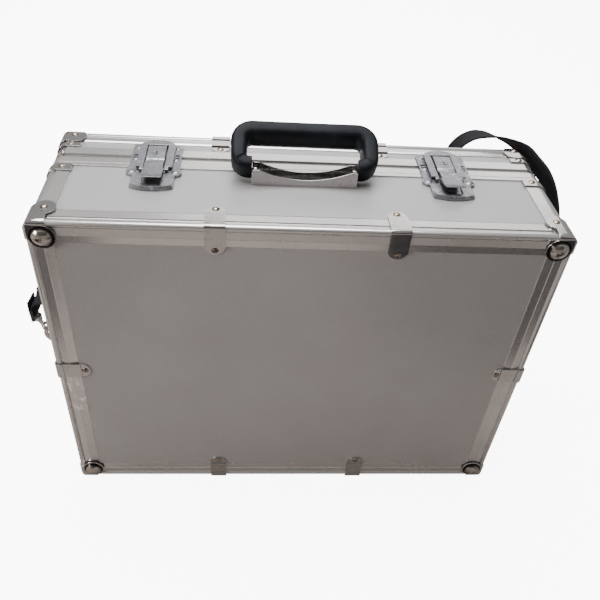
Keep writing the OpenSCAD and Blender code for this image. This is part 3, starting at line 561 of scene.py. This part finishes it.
def strap_end(side):
    """The webbing's end folded round the clip's loop and sewn back on itself."""
    name = "right" if side > 0 else "left"
    swing = math.radians(RING_SWING) if side > 0 else 0.0
    turn = Matrix.Rotation(swing, 3, "Z")
    loop_x, low, off = 24, 200, 2.5
    top = 224 if side > 0 else 212
    arc = [Vector((loop_x + off * math.cos(a), 0, low - (off - 0.6) * math.sin(a)))
           for a in np.linspace(math.pi, 0, 13)]
    down = [Vector((loop_x - off, 0, z)) for z in np.linspace(top, low + 1.4, 9)]
    up = [Vector((loop_x + off, 0, z)) for z in np.linspace(low + 1.4, top, 9)]
    line = down + arc[1:-1] + up
    for p in line:
        drift = max(0.0, p.z - 206) / 20
        p.x += drift * (1.0 if side > 0 else 0.4)
        if side < 0:
            p.y += drift * 3.0
        p.rotate(turn)
        p.x = side * (RING_X + p.x)
        p.y += RING_Y
    across = turn @ Vector((0, 1, 0))
    section = [(x * 0.98, y * 0.75) for x, y in web_section()]
    obj, _ = webbing(f"strap_end_{name}", line, [across] * len(line), section)
    wear(obj, "webbing")
    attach(obj, f"strap_ring_{name}")
    return obj


# ---- grip -----------------------------------------------------------------------------
# in mm: its pins' axis and lean as in the CAD part, and half its thickness across and along it
GRIP_PIVOT = Vector((0, 1.75, 345.7))
GRIP_LEAN = math.radians(63)
GRIP_IN_PLANE = (6.2, 1.15)
GRIP_ACROSS = (11.6, 0.3)
GRIP_SQUARENESS = 4.2
# the legs swell over the first stretch, and the ends that hold the pins are slimmer
GRIP_SWELL = 26
GRIP_END = 11.5
GRIP_END_SCALE = 0.95


def arc_points(cx, cv, r, a0, a1, n):
    """Points on an arc in the grip's own plane."""
    return [(cx + r * math.cos(a), cv + r * math.sin(a)) for a in np.linspace(a0, a1, n)]


def grip_half():
    """Centre line of one half of the grip about its pivot, from the foot to mid-bar."""
    pi = math.pi
    line = [(46.5, 2.8), (47.5, 2.8), (48.5, 2.8)]
    line += arc_points(49.5, 11.3, 8.5, -pi / 2 + 0.12, 0, 12)
    line += [(58, v) for v in np.linspace(13, 24, 6)]
    line += arc_points(46, 26, 12, 0, pi / 2, 16)[1:]
    line += [(u, 38.0) for u in np.linspace(43, 0, 14)]
    return line


def grip_section(a, b, power, count=40):
    """Superellipse: an ellipse at power 2, squarer above it."""
    out = []
    for k in range(count):
        t = 2 * math.pi * k / count
        c, s = math.cos(t), math.sin(t)
        out.append((a * math.copysign(abs(c) ** (2 / power), c),
                    b * math.copysign(abs(s) ** (2 / power), s)))
    return out


def build_grip():
    """One skin from pin to pin round the grip, squarish in section and fullest at the middle."""
    half = grip_half()
    line = [Vector((-u, v, 0)) for u, v in half] + [Vector((u, v, 0)) for u, v in half[-2::-1]]
    n = len(line) - 1
    lengths = [0.0]
    for i in range(n):
        lengths.append(lengths[-1] + (line[i + 1] - line[i]).length)
    total = lengths[-1]
    lean = Matrix.Rotation(-GRIP_LEAN, 3, "X")
    rings = []
    for i in range(n + 1):
        t = (line[min(i + 1, n)] - line[max(i - 1, 0)]).normalized()
        w = Vector((-t.y, t.x, 0))
        from_end = min(lengths[i], total - lengths[i])
        grow = min(1.0, from_end / GRIP_SWELL)
        a = GRIP_IN_PLANE[0] + GRIP_IN_PLANE[1] * grow
        middle = min(1, from_end / (total / 2))
        b = GRIP_ACROSS[0] + GRIP_ACROSS[1] * math.sin(math.pi * middle)
        if from_end < GRIP_END:
            a *= GRIP_END_SCALE
            b *= GRIP_END_SCALE
        ring = []
        for x, y in grip_section(a, b, GRIP_SQUARENESS):
            p = line[i] + w * x
            local = Vector((p.x, y, p.y))
            ring.append((GRIP_PIVOT + lean @ local) * MM)
        rings.append(ring)
    obj = loft("grip", rings)
    wear(obj, "grip")
    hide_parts("handle_grip")
    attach(obj, "grip")
    return obj


build_grip()
for side in (1, -1):
    strap_end(side)


# ---- foam -----------------------------------------------------------------------------
VOXEL = 0.005
UNEVEN = 0.0008
# the egg-crate face's pitch and depth, and how far below the face its waves fade out, in m
CRATE = {"pitch": 0.032, "depth": 0.008, "fade": 0.014}


def foam_block(name, node, body, crate):
    """Soft block in the space of its CAD solid: rounded edges and a slightly uneven face,
    or an egg-crate face where crate is true."""
    obj = bpy.data.objects.new(name, NODES[node].data.copy())
    bpy.context.scene.collection.objects.link(obj)
    remesh = obj.modifiers.new("remesh", "REMESH")
    remesh.mode = "VOXEL"
    remesh.voxel_size = VOXEL
    remesh.use_smooth_shade = True
    smooth = obj.modifiers.new("smooth", "SMOOTH")
    smooth.iterations = 3
    posed = obj.evaluated_get(bpy.context.evaluated_depsgraph_get())
    mesh = bpy.data.meshes.new_from_object(posed)
    obj.modifiers.clear()
    obj.data = mesh
    face = min(v.co.y for v in mesh.vertices)
    for v in mesh.vertices:
        if crate:
            near = max(0.0, 1 - (v.co.y - face) / CRATE["fade"])
            k = 2 * math.pi / CRATE["pitch"]
            wave = 0.5 + 0.5 * math.sin(k * v.co.x) * math.sin(k * v.co.z)
            v.co.y += near * CRATE["depth"] * wave
        else:
            v.co.y -= UNEVEN * noise.noise(v.co * 30)
    wear(obj, "foam")
    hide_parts(node)
    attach(obj, body)


foam_block("base_foam_block", "base_foam", "base", crate=False)
foam_block("lid_foam_block", "lid_foam", "lid", crate=True)


# ---- studio ---------------------------------------------------------------------------
# makes the floor read as white where the camera sees it
FLOOR_GLOW = 8.0


def plane(name, size, place, turn, color, emit=0.0):
    a, b = size[0] / 2, size[1] / 2
    obj = new_object(name, [(-a, -b, 0), (a, -b, 0), (a, b, 0), (-a, b, 0)], [(0, 1, 2, 3)],
                     smooth=False)
    obj.location = place
    obj.rotation_euler = [math.radians(t) for t in turn]
    s = Shader(name, color, 0.9)
    if emit:
        s.set("Emission Color", (*color, 1))
        s.set("Emission Strength", emit)
    obj.data.materials.append(s.material)
    return obj


def lamp(name, place, target, size, power, color=(1, 1, 1)):
    data = bpy.data.lights.new(name, "AREA")
    data.shape = "RECTANGLE"
    data.size, data.size_y = size
    data.energy = power
    data.color = color
    obj = bpy.data.objects.new(name, data)
    obj.location = place
    aim = Vector(target) - Vector(place)
    obj.rotation_euler = aim.to_track_quat("-Z", "Y").to_euler()
    bpy.context.scene.collection.objects.link(obj)


def floor():
    """Plain white to the eye. What the case reflects of it is a warm, darker table."""
    obj = plane("floor", (9, 9), (0, 1.5, 0), (0, 0, 0), (0.33, 0.292, 0.268))
    tree = obj.data.materials[0].node_tree
    seen = tree.nodes.new("ShaderNodeLightPath").outputs["Is Camera Ray"]
    white = tree.nodes.new("ShaderNodeBsdfPrincipled")
    white.inputs["Base Color"].default_value = (0.95, 0.95, 0.95, 1)
    white.inputs["Roughness"].default_value = 0.9
    white.inputs["Emission Color"].default_value = (1, 1, 1, 1)
    white.inputs["Emission Strength"].default_value = FLOOR_GLOW
    mix = tree.nodes.new("ShaderNodeMixShader")
    tree.links.new(seen, mix.inputs[0])
    tree.links.new(tree.nodes["Principled BSDF"].outputs[0], mix.inputs[1])
    tree.links.new(white.outputs[0], mix.inputs[2])
    tree.links.new(mix.outputs[0], tree.nodes["Material Output"].inputs["Surface"])


def studio():
    floor()
    # cards on the floor in front of the case, out of the picture, for its plated parts
    plane("black_card_right", (0.5, 0.46), (0.42, -0.5, 0.002), (0, 0, 0), (0.01, 0.01, 0.012))
    plane("black_card_left", (0.5, 0.46), (-0.52, -0.5, 0.002), (0, 0, 0), (0.01, 0.01, 0.012))
    plane("wall_card", (3.4, 1.2), (0, -1.6, 1.1), (75, 0, 0), (0.10, 0.09, 0.085))
    world = bpy.data.worlds.new("studio")
    world.use_nodes = True
    world.node_tree.nodes["Background"].inputs["Color"].default_value = (1.0, 0.99, 0.98, 1)
    world.node_tree.nodes["Background"].inputs["Strength"].default_value = 0.55
    bpy.context.scene.world = world
    lamp("top", (-0.25, 0.45, 2.0), (0, 0.1, 0.2), (1.6, 1.2), 68, (0.95, 0.97, 1.0))
    lamp("back", (0.5, 2.2, 1.4), (0, 0.1, 0.2), (1.8, 0.9), 12)
    lamp("left", (-1.8, -0.9, 1.0), (0, 0, 0.15), (0.6, 0.6), 34, (1.0, 0.96, 0.92))


studio()
